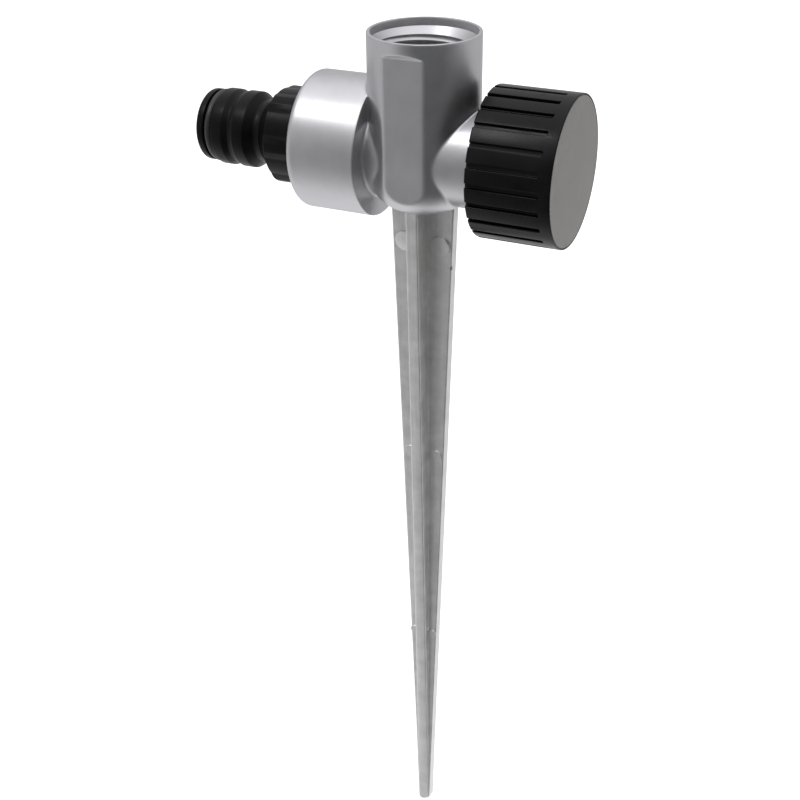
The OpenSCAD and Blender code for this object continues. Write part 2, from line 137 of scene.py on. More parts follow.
# Hose nipple: radii, then distances from its end
WATER_R = 4.8
CHAMBER_R = 7.5
LIP_R = 8.3
SEAL_FLOOR_R = 6.6
COLLAR_R = 8.8
DIP_R = 8.1
WAIST_R = 7.1
FLARE_R = 10.41
PLUG_R = 13.17
PLUG_MINOR_R = 12.01
LIP_END = 1.9
SEAL_END = 4.2
FIRST_COLLAR_END = 7
DIP_AT = 8.5
SECOND_COLLAR = 10
SECOND_COLLAR_END = 12.8
WAIST_AT = 14.6
FLARE_LEN = 3
FUNNEL_LEN = 3
PLUG_LEAD = 0.5
PLUG_THREAD_START = 0.8
HEX_LEN = 8.2
HEX_ACROSS = 20.2
HEX_CORNER_R = 11.11

# Knob and its cover disc
KNOB_CAVITY_R = 14.07
KNOB_END_MARGIN = 2.55
HUB_R = 7
HUB_START = 26.5
WEB_START = 29.56
SOCKET_HALF = 3.2
SOCKET_END = 30.26
SCREW_HOLE_R = 2.15
SCREW_RECESS_R = 4.6
DISC_T = 1
DISC_R = 16.3
DISC_GAP = 0.05
SKIRT_IN = 9.8
SKIRT_OUT = 11
SKIRT_GAP = 0.1
GRIP_COUNT = 24
GRIP_HALF = 0.56
GRIP_DEPTH = 0.9
GRIP_LIP = 0.15
GRIP_FLOOR_R = 0.2
GRIP_END_R = 0.5

# Finishes: most of a noise texture's values lie between the first two
NOISE_LOW = 0.3
NOISE_HIGH = 0.7
SCUFF_START = 0.64
SCUFF_CONTRAST = 12
SCUFF_ROUGHNESS = 0.12
LINE_SHARE = 0.3

# Studio: the floor's half width is in metres and its drop below the tip in millimetres
FLOOR_HALF = 12
FLOOR_DROP = 0.2
FLOOR_GREY = 0.86
FLOOR_GLOW = 0.55
SURROUND_BLUE = 1.01  # blue in the surround, as a share of its red and green
# Sockets of a node that mixes colours
MIX_FACTOR = 0
MIX_A = 6
MIX_B = 7
MIX_RESULT = 2


# ---------------------------------------------------------------- mesh helpers

def rounded(corner_list, steps=5):
    """Outline through (radius, height, rounding) corners, with an arc at each rounded one."""
    outline = []
    for i, (radius, height, rounding) in enumerate(corner_list):
        here = Vector((radius, height))
        if not rounding:
            outline.append(here)
            continue
        back = (Vector(corner_list[i - 1][:2]) - here).normalized()
        ahead = (Vector(corner_list[(i + 1) % len(corner_list)][:2]) - here).normalized()
        half = back.angle(ahead) / 2
        centre = here + (back + ahead).normalized() * rounding / sin(half)
        start = here + back * rounding / tan(half)
        end = here + ahead * rounding / tan(half)
        for k in range(steps + 1):
            outline.append(centre + (start.lerp(end, k / steps) - centre).normalized() * rounding)
    return outline


def face_outward(bm):
    """Makes the faces of a closed mesh agree and point outwards."""
    bmesh.ops.recalc_face_normals(bm, faces=bm.faces)
    if bm.calc_volume(signed=True) < 0:
        bmesh.ops.reverse_faces(bm, faces=bm.faces)


def revolve(outline, steps=128, closed=False):
    """Solid of revolution about Z through (radius, height) points."""
    bm = bmesh.new()
    ring = [bm.verts.new((radius, 0, height)) for radius, height in outline]
    pairs = list(zip(ring, ring[1:])) + ([(ring[-1], ring[0])] if closed else [])
    edges = [bm.edges.new(pair) for pair in pairs]
    bmesh.ops.spin(bm, geom=ring + edges, cent=(0, 0, 0), axis=(0, 0, 1), angle=tau,
                   steps=steps, use_merge=True)
    bmesh.ops.remove_doubles(bm, verts=bm.verts, dist=WELD)
    face_outward(bm)
    return bm


def loft(rings):
    """Closed solid through rings of points that all have the same count."""
    bm = bmesh.new()
    loops = []
    for ring in rings:
        verts = [bm.verts.new(point) for point in ring]
        loops.append([bm.edges.new(pair) for pair in zip(verts, verts[1:] + verts[:1])])
    for below, above in zip(loops, loops[1:]):
        bmesh.ops.bridge_loops(bm, edges=below + above)
    for loop in (loops[0], loops[-1]):
        bmesh.ops.contextual_create(bm, geom=loop)
    bmesh.ops.triangulate(bm, faces=bm.faces)
    face_outward(bm)
    return bm


def along_pipe(bm):
    """Turns a mesh's own +Z to the pipe's +X and puts it on the pipe's axis."""
    turn = Matrix.Translation((0, 0, PIPE_Z)) @ Matrix.Rotation(pi / 2, 4, "Y")
    bmesh.ops.transform(bm, matrix=turn, verts=bm.verts)
    return bm


def block(low, high):
    """Box between two corners."""
    bm = bmesh.new()
    bmesh.ops.create_cube(bm, size=1)
    low, high = Vector(low), Vector(high)
    bmesh.ops.scale(bm, vec=high - low, verts=bm.verts)
    bmesh.ops.translate(bm, vec=(low + high) / 2, verts=bm.verts)
    return bm


def cad_copy(node):
    """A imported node's mesh in millimetres, with its loose triangles joined."""
    bm = bmesh.new()
    bm.from_mesh(frame["nodes"][node].data)
    bmesh.ops.scale(bm, vec=Vector((1, 1, 1)) / MM, verts=bm.verts)
    bmesh.ops.remove_doubles(bm, verts=bm.verts, dist=WELD)
    return bm


def gather(parts):
    """Puts several separate meshes in one."""
    whole = bmesh.new()
    for bm in parts:
        mesh = bpy.data.meshes.new("part")
        bm.to_mesh(mesh)
        bm.free()
        whole.from_mesh(mesh)
        bpy.data.meshes.remove(mesh)
    return whole


def scratch(bm):
    """Temporary object for a mesh in work."""
    mesh = bpy.data.meshes.new("scratch")
    bm.to_mesh(mesh)
    bm.free()
    obj = bpy.data.objects.new("scratch", mesh)
    bpy.context.scene.collection.objects.link(obj)
    return obj


def combine(base, tool, operation):
    """Joins, cuts or intersects two closed meshes and returns the result."""
    base, tool = scratch(base), scratch(tool)
    modifier = base.modifiers.new("combine", "BOOLEAN")
    modifier.operation = operation
    modifier.solver = "EXACT"
    modifier.object = tool
    result = bmesh.new()
    result.from_object(base, bpy.context.evaluated_depsgraph_get())
    for obj in (base, tool):
        mesh = obj.data
        bpy.data.objects.remove(obj)
        bpy.data.meshes.remove(mesh)
    bmesh.ops.remove_doubles(result, verts=result.verts, dist=WELD)
    bmesh.ops.dissolve_degenerate(result, edges=result.edges, dist=WELD)
    return result


def drop_folds(bm):
    """Deletes slivers and faces that lie back to back on the same corners."""
    bmesh.ops.triangulate(bm, faces=[face for face in bm.faces if len(face.verts) > 3])
    places = {}
    for face in bm.faces:
        key = tuple(sorted(tuple(round(c, 3) for c in v.co) for v in face.verts))
        places.setdefault(key, []).append(face)
    folded = [face for group in places.values() if len(group) > 1 for face in group]
    bmesh.ops.delete(bm, geom=folded, context="FACES")
    bmesh.ops.remove_doubles(bm, verts=bm.verts, dist=SLIVER)
    bmesh.ops.dissolve_degenerate(bm, edges=bm.edges, dist=SLIVER)


def finish_piece(name, bm, body, replaced, material):
    """Turns a mesh in millimetres into a named piece that rides on a body."""
    bmesh.ops.scale(bm, vec=(MM, MM, MM), verts=bm.verts)
    for face in bm.faces:
        face.smooth = True
    for edge in bm.edges:
        edge.smooth = not (len(edge.link_faces) == 2 and edge.calc_face_angle() > SHARP_ANGLE)
    mesh = bpy.data.meshes.new(name)
    bm.to_mesh(mesh)
    bm.free()
    mesh.materials.append(material)
    piece = bpy.data.objects.new(name, mesh)
    bpy.context.scene.collection.objects.link(piece)
    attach(piece, body)
    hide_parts(replaced)
    return piece


# ---------------------------------------------------------------- casting

def round_join(a, b, radius):
    """Distance to two joined shapes with a fillet between them."""
    inner = np.hypot(np.maximum(radius - a, 0), np.maximum(radius - b, 0))
    return np.maximum(radius, np.minimum(a, b)) - inner


def round_trim(a, b, radius):
    """Distance to what two shapes share, with a rounded edge."""
    outer = np.hypot(np.maximum(radius + a, 0), np.maximum(radius + b, 0))
    return np.minimum(-radius, np.maximum(a, b)) + outer


def casting_skin(points, soft):
    """Distance to the casting's outside; soft is 0 for sharp corners and 1 for rounded ones."""
    x, y, z = points.T
    across = np.hypot(x, y)
    flank = np.maximum(across - (TUBE_R - TUBE_ROUND), 0)
    tube = np.hypot(flank, np.maximum(TUBE_ROUND - z, 0)) - TUBE_ROUND
    tube = round_trim(tube, z - RIM_Z, soft * RIM_EDGE)
    mouth = np.minimum(MOUTH_R - across, z - (RIM_Z - MOUTH_DEPTH / 2))
    tube = round_trim(tube, mouth, soft * MOUTH_EDGE)
    depth = np.abs(y) - FLAT_Y
    ledge = (depth - (z - LEDGE_Z)) / sqrt(2)
    tube = round_trim(tube, round_join(depth, ledge, soft * LEDGE_FILLET), soft * FLAT_EDGE)
    from_pipe = np.hypot(y, z - PIPE_Z)
    boss = round_trim(from_pipe - BOSS_R, x - BOSS_IN, soft * BOSS_EDGE)
    boss = round_trim(boss, BOSS_OUT - x, soft * BOSS_ROUND)
    if not soft:
        chamfer = (from_pipe - BOSS_R + BOSS_OUT - x + BOSS_CHAMFER) / sqrt(2)
        boss = np.maximum(boss, chamfer)
    skin = round_join(tube, from_pipe - NECK_R, soft * NECK_FILLET)
    return round_join(skin, boss, soft * BOSS_FILLET)


def slope(skin, points):
    """Outward direction of a skin at each point."""
    steps = SLOPE_STEP * np.eye(3)
    direction = np.stack([skin(points + step, 1) - skin(points - step, 1) for step in steps], axis=1)
    return direction / np.maximum(np.linalg.norm(direction, axis=1, keepdims=True), 1e-9)


def split_near_corners(bm, skin, fine):
    """Splits the edges that lie near a corner of the skin until they are fine."""
    for _ in range(SPLIT_PASSES):
        bmesh.ops.triangulate(bm, faces=[face for face in bm.faces if len(face.verts) > 3])
        bm.edges.ensure_lookup_table()
        start, end = np.array([[v.co for v in edge.verts] for edge in bm.edges]).transpose(1, 0, 2)
        near = np.zeros(len(start), bool)
        for share in np.linspace(0, 1, EDGE_SAMPLES):
            between = start + (end - start) * share
            at_skin = np.abs(skin(between, 0)) < ON_SKIN
            near |= at_skin & (np.abs(skin(between, 1)) > ON_SKIN / 2)
        long = np.linalg.norm(end - start, axis=1) > fine
        split = [bm.edges[i] for i in np.flatnonzero(near & long)]
        if not split:
            return
        bmesh.ops.subdivide_edges(bm, edges=split, cuts=1)


def soften(bm, skin, fine):
    """Rounds the corners of a mesh by moving its fine edges onto the rounded skin."""
    split_near_corners(bm, skin, fine)
    verts = list(bm.verts)
    points = np.array([v.co for v in verts])
    chosen = np.flatnonzero(np.abs(skin(points, 0)) < ON_SKIN)
    moved = points[chosen]
    for _ in range(MOVE_PASSES):
        moved -= skin(moved, 1)[:, None] * slope(skin, moved)
    for i, place in zip(chosen, moved):
        verts[i].co = place


def thread_sleeve():
    """Fills the ring grooves of the outlet so that a true helix can be cut."""
    inner = THREAD_MINOR_R - SLEEVE_INSET
    outer = THREAD_MAJOR_R + SLEEVE_WALL
    bottom = THREAD_FLOOR + SLEEVE_LIFT
    return revolve([(inner, bottom), (outer, bottom), (outer, THREAD_TOP), (inner, THREAD_TOP)],
                   closed=True)


def thread_groove():
    """Helical groove of the outlet's pipe thread."""
    bm = bmesh.new()
    crest = THREAD_MINOR_R - GROOVE_OVERCUT
    start = THREAD_TOP + GROOVE_RUN_OUT - GROOVE_LAST_TURN * THREAD_PITCH
    outline = [(crest, -GROOVE_MOUTH), (THREAD_MAJOR_R, -GROOVE_FLOOR),
               (THREAD_MAJOR_R, GROOVE_FLOOR), (crest, GROOVE_MOUTH)]
    ring = [bm.verts.new((radius, 0, start + share * THREAD_PITCH)) for radius, share in outline]
    first = bm.faces.new(ring)
    swept = bmesh.ops.spin(bm, geom=ring + list(first.edges), cent=(0, 0, 0), axis=(0, 0, 1),
                           dvec=(0, 0, THREAD_PITCH / GROOVE_STEPS), angle=tau * GROOVE_TURNS,
                           steps=round(GROOVE_TURNS * GROOVE_STEPS))
    last = [v for v in swept["geom_last"] if isinstance(v, bmesh.types.BMVert)]
    bmesh.ops.contextual_create(bm, geom=last)
    face_outward(bm)
    return bm


def casting(material):
    """Body casting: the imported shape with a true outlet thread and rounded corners."""
    bm = combine(cad_copy("body_casting"), thread_sleeve(), "UNION")
    bm = combine(bm, thread_groove(), "DIFFERENCE")
    drop_folds(bm)
    soften(bm, casting_skin, SOFT_MESH)
    drop_folds(bm)
    return finish_piece("casting", bm, "base", "body_casting", material)


# ---------------------------------------------------------------- ground spike

def spike_outline(half):
    """Cross section of the spike: four ribs with rounded edges and filleted inner corners."""
    rib = RIB_T / 2
    room = half - rib
    edge = min(RIB_EDGE, room * 0.5)
    fillet = min(RIB_FILLET, room * 0.45)
    quarter = [(half, -rib, edge), (half, rib, edge), (rib, rib, fillet)]
    corner_list = []
    for k in range(4):
        turn = Matrix.Rotation(k * pi / 2, 2)
        corner_list += [(*(turn @ Vector((x, y))), rounding) for x, y, rounding in quarter]
    return rounded(corner_list)


def spike_half(z):
    """Half of the spike's width at a height."""
    return SPIKE_TOP_W / 2 + (SPIKE_TOP_W - SPIKE_TIP_W) / 2 * z / -SPIKE_LOW.z


def spike_blank():
    """Tapering bar that reaches up into the casting."""
    return loft([[(*point, z) for point in spike_outline(spike_half(z))]
                 for z in (SPIKE_LOW.z, *SPIKE_STATIONS, TUBE_ROUND)])


def pin_mark(x, z, radius, rise, tilt):
    """Round pad that an ejector pin left on the front of a rib, highest at its upper right."""
    outline = rounded([(0, -1, 0), (radius, -1, 0), (radius, rise, PAD_EDGE), (0, rise, 0)])
    bm = revolve(outline, steps=48)
    lean = Matrix.Rotation(radians(tilt), 4, (1, 0, -1))
    turn = Matrix.Translation((x, -RIB_T / 2, z)) @ lean @ Matrix.Rotation(pi / 2, 4, "X")
    bmesh.ops.transform(bm, matrix=turn, verts=bm.verts)
    return bm


def mark_spike(bm):
    """Adds the ejector marks of both side ribs and the nick in the right one."""
    pads = []
    for z, radius, rise, tilt in PIN_MARKS:
        x = (spike_half(z) + RIB_T / 2) / 2
        pads += [pin_mark(side, z, radius, rise, tilt) for side in (-x, x)]
    edge = spike_half(NICK_Z)
    nick = block((edge - NICK_DEPTH, -2, NICK_Z - NICK_BELOW),
                 (edge + 1, NICK_BACK, NICK_Z + NICK_ABOVE))
    return combine(combine(bm, nick, "DIFFERENCE"), gather(pads), "UNION")


def tube_core(sink):
    """The outlet tube's outside, made smaller by a sink."""
    radius = TUBE_R - sink
    outline = [(0, sink, 0), (radius, sink, TUBE_ROUND), (radius, RIM_Z, 0), (0, RIM_Z, 0)]
    return revolve(rounded(outline, steps=24))


def point_tip(bm):
    """Slants the tip."""
    for (x, y, rise), normal in TIP_CUTS:
        cut = bmesh.ops.bisect_plane(bm, geom=bm.verts[:] + bm.edges[:] + bm.faces[:],
                                     plane_co=(x, y, SPIKE_LOW.z + rise), plane_no=normal,
                                     clear_outer=True)
        rim = [item for item in cut["geom_cut"] if isinstance(item, bmesh.types.BMEdge)]
        bmesh.ops.contextual_create(bm, geom=rim)


def spike(material):
    """Ground spike, its top following the casting's underside."""
    bm = spike_blank()
    point_tip(bm)
    bm = mark_spike(combine(bm, tube_core(SPIKE_SINK), "DIFFERENCE"))
    return finish_piece("spike", bm, "base", "ground_spike", material)


# ---------------------------------------------------------------- hose nipple

def nipple(material):
    """Click-on hose nipple with its hexagon and its threaded plug."""
    hex_start = BOSS_OUT - HEX_LEN
    end = NIPPLE_LOW.x
    inner = NIPPLE_HIGH.x
    outline = rounded([
        (WATER_R, end, 0.3), (LIP_R, end, 0.75), (LIP_R, end + LIP_END, 0.15),
        (SEAL_FLOOR_R, end + LIP_END, 0.1), (SEAL_FLOOR_R, end + SEAL_END, 0.1),
        (COLLAR_R, end + SEAL_END, 0.45), (COLLAR_R, end + FIRST_COLLAR_END, 0.5),
        (DIP_R, end + DIP_AT, 0.8), (COLLAR_R, end + SECOND_COLLAR, 0.5),
        (COLLAR_R, end + SECOND_COLLAR_END, 0.7), (WAIST_R, end + WAIST_AT, 0.9),
        (WAIST_R, hex_start - FLARE_LEN, 1.5), (FLARE_R, hex_start, 0), (FLARE_R, BOSS_OUT, 0),
        (PLUG_R, BOSS_OUT, 0.2), (PLUG_R, BOSS_OUT + PLUG_LEAD, 0),
        (PLUG_MINOR_R, BOSS_OUT + PLUG_THREAD_START, 0), (PLUG_MINOR_R, inner, 0.2), (CHAMBER_R, inner, 0.2),
        (CHAMBER_R, BOSS_OUT, 0), (WATER_R, BOSS_OUT - FUNNEL_LEN, 0),
    ])
    bm = along_pipe(revolve(outline, closed=True))
    bm = combine(bm, nipple_hexagon(hex_start), "UNION")
    return finish_piece("hose_nipple", bm, "base", "inlet_nipple", material)


def nipple_hexagon(start):
    """Hexagon of the nipple, its corners turned down and its edges rounded."""
    corner = HEX_ACROSS / sqrt(3)
    length = BOSS_OUT + 0.1 - start
    bm = bmesh.new()
    bmesh.ops.create_cone(bm, cap_ends=True, segments=6, radius1=corner, radius2=corner,
                          depth=length)
    bmesh.ops.translate(bm, vec=(0, 0, start + length / 2), verts=bm.verts)
    barrel = revolve(rounded([(0, start, 0), (HEX_CORNER_R, start, 0.6),
                              (HEX_CORNER_R, start + length, 0.2), (0, start + length, 0)]))
    bm = combine(bm, barrel, "INTERSECT")
    bore_r = CHAMBER_R + 0.1
    bore = revolve([(0, start - 1), (bore_r, start - 1), (bore_r, BOSS_OUT + 1), (0, BOSS_OUT + 1)])
    return along_pipe(combine(bm, bore, "DIFFERENCE"))


# ---------------------------------------------------------------- knob

def knob(material):
    """Ribbed knob with its hub, its square socket and the seat for the cover disc."""
    near = KNOB_LOW.x
    far = KNOB_HIGH.x
    outer = KNOB_HIGH.y
    seat = DISC_HIGH.x - DISC_T
    seat_r = DISC_R + DISC_GAP
    skirt = DISC_LOW.x - SKIRT_GAP
    skirt_out = SKIRT_OUT + DISC_GAP
    skirt_in = SKIRT_IN - DISC_GAP
    screw_seat = corners("knob_screw_washer")[0].x
    outline = rounded([
        (SCREW_HOLE_R, HUB_START, 0.2), (HUB_R, HUB_START, 0.4), (HUB_R, WEB_START, 0.5),
        (KNOB_CAVITY_R, WEB_START, 0.5), (KNOB_CAVITY_R, near, 0.3), (outer, near, 0.35),
        (outer, far, 0.25), (seat_r, far, 0), (seat_r, seat, 0), (skirt_out, seat, 0),
        (skirt_out, skirt, 0), (skirt_in, skirt, 0), (skirt_in, seat, 0), (SCREW_RECESS_R, seat, 0),
        (SCREW_RECESS_R, screw_seat, 0), (SCREW_HOLE_R, screw_seat, 0),
    ])
    bm = along_pipe(revolve(outline, steps=192, closed=True))
    bm = combine(bm, grip_grooves(near, far - KNOB_END_MARGIN, outer), "DIFFERENCE")
    socket = block((HUB_START - 1, -SOCKET_HALF, PIPE_Z - SOCKET_HALF),
                   (SOCKET_END, SOCKET_HALF, PIPE_Z + SOCKET_HALF))
    bm = combine(bm, socket, "DIFFERENCE")
    return finish_piece("ribbed_knob", bm, "knob_assembly", "knob", material)


def grip_grooves(near, end, outer):
    """Cutters for the grip, each with rounded lips, a rounded floor and a rounded far end."""
    spread = GRIP_HALF + GRIP_LIP * 2
    lip_at = outer - 0.02
    floor_at = outer - GRIP_DEPTH
    top = outer + 0.6
    outline = rounded([
        (-spread, top, 0), (-spread, lip_at, 0), (-GRIP_HALF, lip_at, GRIP_LIP),
        (-GRIP_HALF, floor_at, GRIP_FLOOR_R), (GRIP_HALF, floor_at, GRIP_FLOOR_R),
        (GRIP_HALF, lip_at, GRIP_LIP), (spread, lip_at, 0), (spread, top, 0),
    ], steps=4)
    stations = [(near - 1, 0)]
    for k in range(5):
        turn = pi / 2 * k / 4
        along = end - GRIP_END_R * (1 - sin(turn))
        stations.append((along, GRIP_DEPTH * 0.5 * (1 - cos(turn))))
    bm = loft([[(height + lift, across, along) for across, height in outline]
               for along, lift in stations])
    bmesh.ops.spin(bm, geom=bm.verts[:] + bm.edges[:] + bm.faces[:], cent=(0, 0, 0), axis=(0, 0, 1),
                   angle=tau * (GRIP_COUNT - 1) / GRIP_COUNT, steps=GRIP_COUNT - 1,
                   use_duplicate=True)
    return along_pipe(bm)


def cover_disc(material):
    """Flat disc over the knob's end, with the ring that snaps into the knob."""
    face = DISC_HIGH.x
    back = face - DISC_T
    skirt = DISC_LOW.x
    outline = rounded([
        (0, back, 0), (SKIRT_IN, back, 0), (SKIRT_IN, skirt, 0.2), (SKIRT_OUT, skirt, 0.2),
        (SKIRT_OUT, back, 0), (DISC_R, back, 0), (DISC_R, face, 0.22), (0, face, 0),
    ])
    bm = along_pipe(revolve(outline, steps=160))
    return finish_piece("cover_disc", bm, "knob_assembly", "knob_cover_disc", material)


# ---------------------------------------------------------------- materials

def new_group(name, inputs, outputs):
    """Empty shader node group with float inputs (name, default) and named outputs."""
    group = bpy.data.node_groups.new(name, "ShaderNodeTree")
    for socket, default in inputs:
        made = group.interface.new_socket(socket, in_out="INPUT", socket_type="NodeSocketFloat")
        made.default_value = default
    for socket in outputs:
        group.interface.new_socket(socket, in_out="OUTPUT", socket_type="NodeSocketFloat")
    return group, group.nodes.new("NodeGroupInput"), group.nodes.new("NodeGroupOutput")


def add_noise(tree, vector, scale, detail, roughness=0.5):
    """Noise texture; scale is a number or a socket."""
    noise = tree.nodes.new("ShaderNodeTexNoise")
    noise.inputs["Detail"].default_value = detail
    noise.inputs["Roughness"].default_value = roughness
    tree.links.new(vector, noise.inputs["Vector"])
    if isinstance(scale, bpy.types.NodeSocket):
        tree.links.new(scale, noise.inputs["Scale"])
    else:
        noise.inputs["Scale"].default_value = scale
    return noise.outputs["Fac"]


def add_math(tree, operation, a, b):
    """Math node on two sockets or numbers."""
    node = tree.nodes.new("ShaderNodeMath")
    node.operation = operation
    for socket, value in zip(node.inputs, (a, b)):
        if isinstance(value, bpy.types.NodeSocket):
            tree.links.new(value, socket)
        else:
            socket.default_value = value
    return node.outputs[0]


def surface_grain_group():
    """Fine grain and slow mottling of a cast or moulded skin."""
    group, given, out = new_group("surface_grain", [("Grain Scale", 2500), ("Mottle Scale", 120)],
                                  ["Grain", "Mottle"])
    place = group.nodes.new("ShaderNodeTexCoord").outputs["Object"]
    grain = add_noise(group, place, given.outputs["Grain Scale"], detail=3,
                      roughness=0.6)
    mottle = add_noise(group, place, given.outputs["Mottle Scale"], detail=4,
                       roughness=0.55)
    group.links.new(grain, out.inputs["Grain"])
    group.links.new(mottle, out.inputs["Mottle"])
    return group


def scuff_group():
    """Fine scratches and rubbed spots from handling."""
    group, given, out = new_group("scuffs", [("Scratch Scale", 300), ("Threshold", 0.62)],
                                  ["Scratch"])
    place = group.nodes.new("ShaderNodeTexCoord").outputs["Object"]
    stretch = group.nodes.new("ShaderNodeMapping")
    stretch.inputs["Scale"].default_value = (1, 1, 0.06)
    stretch.inputs["Rotation"].default_value = (0.4, 0.3, 0.5)
    group.links.new(place, stretch.inputs["Vector"])
    lines = add_noise(group, stretch.outputs["Vector"], given.outputs["Scratch Scale"], detail=2,
                      roughness=0.4)
    over = add_math(group, "SUBTRACT", lines, given.outputs["Threshold"])
    sharp = add_math(group, "MULTIPLY", over, SCUFF_CONTRAST)
    sharp.node.use_clamp = True
    group.links.new(sharp, out.inputs["Scratch"])
    return group


def turning_group():
    """Fine rings that a lathe leaves round the pipe's axis."""
    group, given, out = new_group("turning_marks", [("Ring Scale", 6000)], ["Rings"])
    place = group.nodes.new("ShaderNodeTexCoord").outputs["Object"]
    parts = group.nodes.new("ShaderNodeSeparateXYZ")
    group.links.new(place, parts.inputs[0])
    height = add_math(group, "SUBTRACT", parts.outputs["Z"], PIPE_Z * MM)
    across_squared = add_math(group, "MULTIPLY", parts.outputs["Y"], parts.outputs["Y"])
    height_squared = add_math(group, "MULTIPLY", height, height)
    squared = add_math(group, "ADD", across_squared, height_squared)
    radius = add_math(group, "POWER", squared, 0.5)
    along = group.nodes.new("ShaderNodeCombineXYZ")
    group.links.new(parts.outputs["X"], along.inputs["X"])
    group.links.new(radius, along.inputs["Y"])
    rings = add_noise(group, along.outputs[0], given.outputs["Ring Scale"], detail=2,
                      roughness=0.7)
    group.links.new(rings, out.inputs["Rings"])
    return group


GRAIN = surface_grain_group()
SCUFFS = scuff_group()
TURNING = turning_group()


def place_group(tree, group, **values):
    """Puts a shared group in a material with its own values."""
    node = tree.nodes.new("ShaderNodeGroup")
    node.node_tree = group
    for name, value in values.items():
        node.inputs[name.replace("_", " ")].default_value = value
    return node


def ramp(tree, factor, low, high, dark, light):
    """Colour ramp between two greys or colours."""
    node = tree.nodes.new("ShaderNodeValToRGB")
    node.color_ramp.elements[0].position = low
    node.color_ramp.elements[1].position = high
    node.color_ramp.elements[0].color = (*dark, 1)
    node.color_ramp.elements[1].color = (*light, 1)
    tree.links.new(factor, node.inputs["Fac"])
    return node.outputs["Color"]


def spread(tree, factor, low, high):
    """Maps a noise value to a range."""
    node = tree.nodes.new("ShaderNodeMapRange")
    node.inputs["From Min"].default_value = NOISE_LOW
    node.inputs["From Max"].default_value = NOISE_HIGH
    node.inputs["To Min"].default_value = low
    node.inputs["To Max"].default_value = high
    tree.links.new(factor, node.inputs["Value"])
    return node.outputs["Result"]


def start_material(name, metallic=0.0, specular=0.5):
    """Material with its shader; returns the material, its node tree and the shader."""
    material = bpy.data.materials.new(name)
    material.use_nodes = True
    tree = material.node_tree
    shader = tree.nodes["Principled BSDF"]
    shader.inputs["Metallic"].default_value = metallic
    shader.inputs["Specular IOR Level"].default_value = specular
    return material, tree, shader


def add_bump(tree, shader, height, depth):
    """Bump of a given depth in metres."""
    bump = tree.nodes.new("ShaderNodeBump")
    bump.inputs["Distance"].default_value = depth
    bump.inputs["Strength"].default_value = 1
    tree.links.new(height, bump.inputs["Height"])
    tree.links.new(bump.outputs["Normal"], shader.inputs["Normal"])


def moulded(name, dark, light, rough, grain_scale, mottle_scale, depth, metallic=0.0,
            specular=0.5):
    """Cast or moulded finish with grain, mottling and a few scuffs."""
    material, tree, shader = start_material(name, metallic, specular)
    grain = place_group(tree, GRAIN, Grain_Scale=grain_scale, Mottle_Scale=mottle_scale)
    scuff = place_group(tree, SCUFFS, Threshold=SCUFF_START)
    colour = ramp(tree, grain.outputs["Mottle"], NOISE_LOW, NOISE_HIGH, dark, light)
    tree.links.new(colour, shader.inputs["Base Color"])
    base = spread(tree, grain.outputs["Mottle"], *rough)
    worn = add_math(tree, "MULTIPLY", scuff.outputs["Scratch"], SCUFF_ROUGHNESS)
    tree.links.new(add_math(tree, "ADD", base, worn), shader.inputs["Roughness"])
    add_bump(tree, shader, grain.outputs["Grain"], depth)
    return material


def dragged_lines_with_painted_light(name, dark, light, rough, depth, metallic):
    """Thin paint over lines dragged along the casting's length, with painted light that makes it paler towards the
    low end.
    """
    material, tree, shader = start_material(name, metallic)
    grain = place_group(tree, GRAIN, Grain_Scale=1500, Mottle_Scale=260)
    stretch = tree.nodes.new("ShaderNodeMapping")
    stretch.inputs["Scale"].default_value = (1, 1, 0.03)
    place = tree.nodes.new("ShaderNodeTexCoord").outputs["Object"]
    tree.links.new(place, stretch.inputs["Vector"])
    parts = tree.nodes.new("ShaderNodeSeparateXYZ")
    tree.links.new(place, parts.inputs[0])
    lines = add_noise(tree, stretch.outputs["Vector"], scale=1800, detail=3, roughness=0.6)
    mixed = add_math(tree, "ADD", add_math(tree, "MULTIPLY", lines, LINE_SHARE),
                     add_math(tree, "MULTIPLY", grain.outputs["Mottle"], 1 - LINE_SHARE))
    # Painted light: subtracting the height makes the colour paler towards the tip, standing in for the brighter
    # light on the spike's low end.
    painted_light_low_end = add_math(tree, "SUBTRACT", mixed, parts.outputs["Z"])
    tree.links.new(ramp(tree, painted_light_low_end, 0.35, 0.8, dark, light), shader.inputs["Base Color"])
    tree.links.new(spread(tree, grain.outputs["Mottle"], *rough), shader.inputs["Roughness"])
    height = add_math(tree, "ADD", lines, grain.outputs["Grain"])
    add_bump(tree, shader, height, depth)
    return material


def turned(name, dark, light, rough, ring_scale, depth, metallic):
    """Lathe-turned finish with rings and a little tarnish."""
    material, tree, shader = start_material(name, metallic)
    rings = place_group(tree, TURNING, Ring_Scale=ring_scale)
    grain = place_group(tree, GRAIN, Grain_Scale=1500, Mottle_Scale=250)
    colour = ramp(tree, grain.outputs["Mottle"], 0.35, NOISE_HIGH, dark, light)
    tree.links.new(colour, shader.inputs["Base Color"])
    tree.links.new(spread(tree, rings.outputs["Rings"], *rough), shader.inputs["Roughness"])
    add_bump(tree, shader, rings.outputs["Rings"], depth)
    return material


